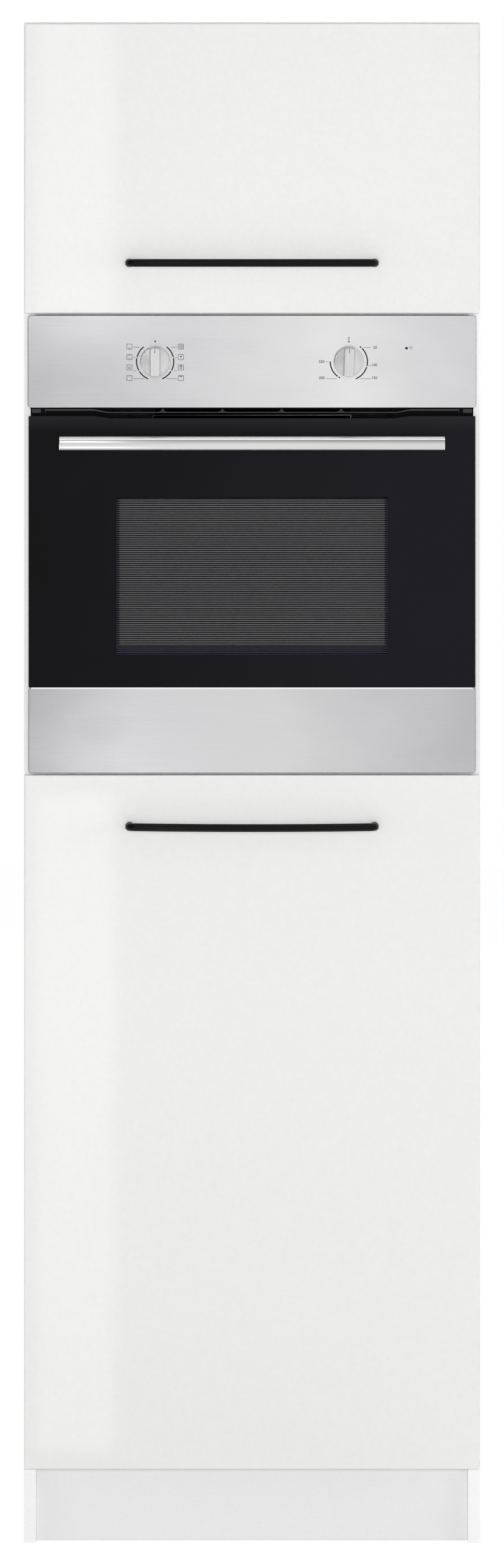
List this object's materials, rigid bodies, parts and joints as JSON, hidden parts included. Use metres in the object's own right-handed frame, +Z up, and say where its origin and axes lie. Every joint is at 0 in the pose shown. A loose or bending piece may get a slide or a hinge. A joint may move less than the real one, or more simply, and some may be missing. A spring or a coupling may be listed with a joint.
{
  "type": "tall oven housing unit",
  "caption": "Tall gloss white kitchen cupboard with a built-in steel and black glass oven between an upper and a lower door, on a plinth.",
  "frame": {"origin": "on the floor, in the middle of the footprint of the whole unit with its handles", "axes": "+X to the right as seen from the front, +Y from the front towards the wall, +Z up"},
  "size_m": [0.6, 0.617, 2],
  "materials": {
    "white_board": "satin white melamine with white edging",
    "white_front": "high gloss white lacquer with soft rounded edges",
    "plinth_white": "gloss white",
    "back_board_white": "thin white faced fibreboard",
    "fitting_steel": "nickel plated",
    "clear_buffer": "clear soft plastic",
    "black_handle": "satin black",
    "galvanised_sheet": "galvanised sheet",
    "enamel": "dark speckled enamel",
    "black_sheet": "satin black",
    "stainless": "horizontally brushed",
    "stainless_bar": "brushed round its length",
    "door_glass": "black printed glass, glossy",
    "seal_rubber": "matt black silicone",
    "black_plastic": "matt black",
    "ivory_plastic": "moulded switch body",
    "amber_lens": "small lens",
    "wool": "mineral wool blanket",
    "element_steel": "dark sheathed heater",
    "rack_chrome": "chrome plated wire",
    "fan_aluminium": "pressed sheet",
    "motor_steel": "plain",
    "lamp_glass": "ribbed lamp glass"
  },
  "bodies": {
    "carcass": {"side_panel_left": "white_board", "side_panel_right": "white_board", "top_panel": "white_board", "oven_top_shelf": "white_board", "oven_shelf": "white_board", "bottom_panel": "white_board", "back_panel_upper": "back_board_white", "back_panel_lower": "back_board_white", "rear_rail": "white_board", "plinth_panel": "plinth_white", "upper_shelf": "white_board", "lower_shelf_low": "white_board", "lower_shelf_high": "white_board", "shelf_pins": "fitting_steel", "cam_locks": "fitting_steel", "cam_bolts": "fitting_steel", "wall_brackets": "fitting_steel", "hinge_plates": "fitting_steel", "hinge_arms": "fitting_steel", "hinge_screws": "fitting_steel", "oven_casing": "galvanised_sheet", "oven_rear_cover": "galvanised_sheet", "insulation": "wool", "oven_cavity": "enamel", "oven_front_frame": "black_sheet", "door_seal": "seal_rubber", "control_panel": "stainless", "vent_grille": "black_plastic", "pilot_lamp": "amber_lens", "function_switch": "ivory_plastic", "thermostat": "ivory_plastic", "grill_element": "element_steel", "bottom_element": "element_steel", "fan_baffle": "enamel", "fan_motor": "motor_steel", "oven_lamp": "lamp_glass", "rack_supports": "rack_chrome", "blower_housing": "galvanised_sheet", "oven_hinge_arms": "fitting_steel"},
    "upper_door_leaf": {"upper_door": "white_front", "upper_handle": "black_handle", "upper_handle_screws": "fitting_steel", "upper_hinge_cups": "fitting_steel", "door_buffers_upper": "clear_buffer"},
    "lower_door_leaf": {"lower_door": "white_front", "lower_handle": "black_handle", "lower_handle_screws": "fitting_steel", "lower_hinge_cups": "fitting_steel", "door_buffers_lower": "clear_buffer"},
    "oven_door": {"oven_door_glass": "door_glass", "oven_door_frame": "black_sheet", "oven_door_back": "black_sheet", "oven_door_strip": "stainless", "oven_handle_bar": "stainless_bar", "oven_handle_posts": "stainless_bar"},
    "function_control": {"function_knob": "stainless_bar"},
    "thermostat_control": {"thermostat_knob": "stainless_bar"},
    "circulation_fan": {"convection_fan": "fan_aluminium"},
    "cooling_blower": {"blower_rotor": "fan_aluminium"},
    "sliding_rack": {"wire_rack": "rack_chrome"}
  },
  "joints": [
    {"name": "upper_door_hinge", "type": "hinge", "parent": "carcass", "child": "upper_door_leaf", "pos_m": [-0.291, -0.2535, 1.8075], "axis": [0, 0, -1], "range_deg": [0, 95]},
    {"name": "lower_door_hinge", "type": "hinge", "parent": "carcass", "child": "lower_door_leaf", "pos_m": [-0.291, -0.2535, 0.55625], "axis": [0, 0, -1], "range_deg": [0, 95]},
    {"name": "oven_door_hinge", "type": "hinge", "parent": "carcass", "child": "oven_door", "pos_m": [0, -0.2555, 1.0236], "axis": [1, 0, 0], "range_deg": [0, 90]},
    {"name": "function_knob_turn", "type": "hinge", "parent": "carcass", "child": "function_control", "pos_m": [-0.127, -0.27, 1.5541], "axis": [0, 1, 0], "continuous": true},
    {"name": "thermostat_knob_turn", "type": "hinge", "parent": "carcass", "child": "thermostat_control", "pos_m": [0.127, -0.27, 1.5541], "axis": [0, 1, 0], "range_deg": [0, 270]},
    {"name": "convection_fan_spin", "type": "hinge", "parent": "carcass", "child": "circulation_fan", "pos_m": [0, 0.16, 1.2725], "axis": [0, 1, 0], "continuous": true},
    {"name": "blower_spin", "type": "hinge", "parent": "carcass", "child": "cooling_blower", "pos_m": [0, -0.0315, 1.517], "axis": [1, 0, 0], "continuous": true},
    {"name": "rack_slide", "type": "slide", "parent": "carcass", "child": "sliding_rack", "axis": [0, -1, 0], "range_m": [0, 0.02]}
  ]
}
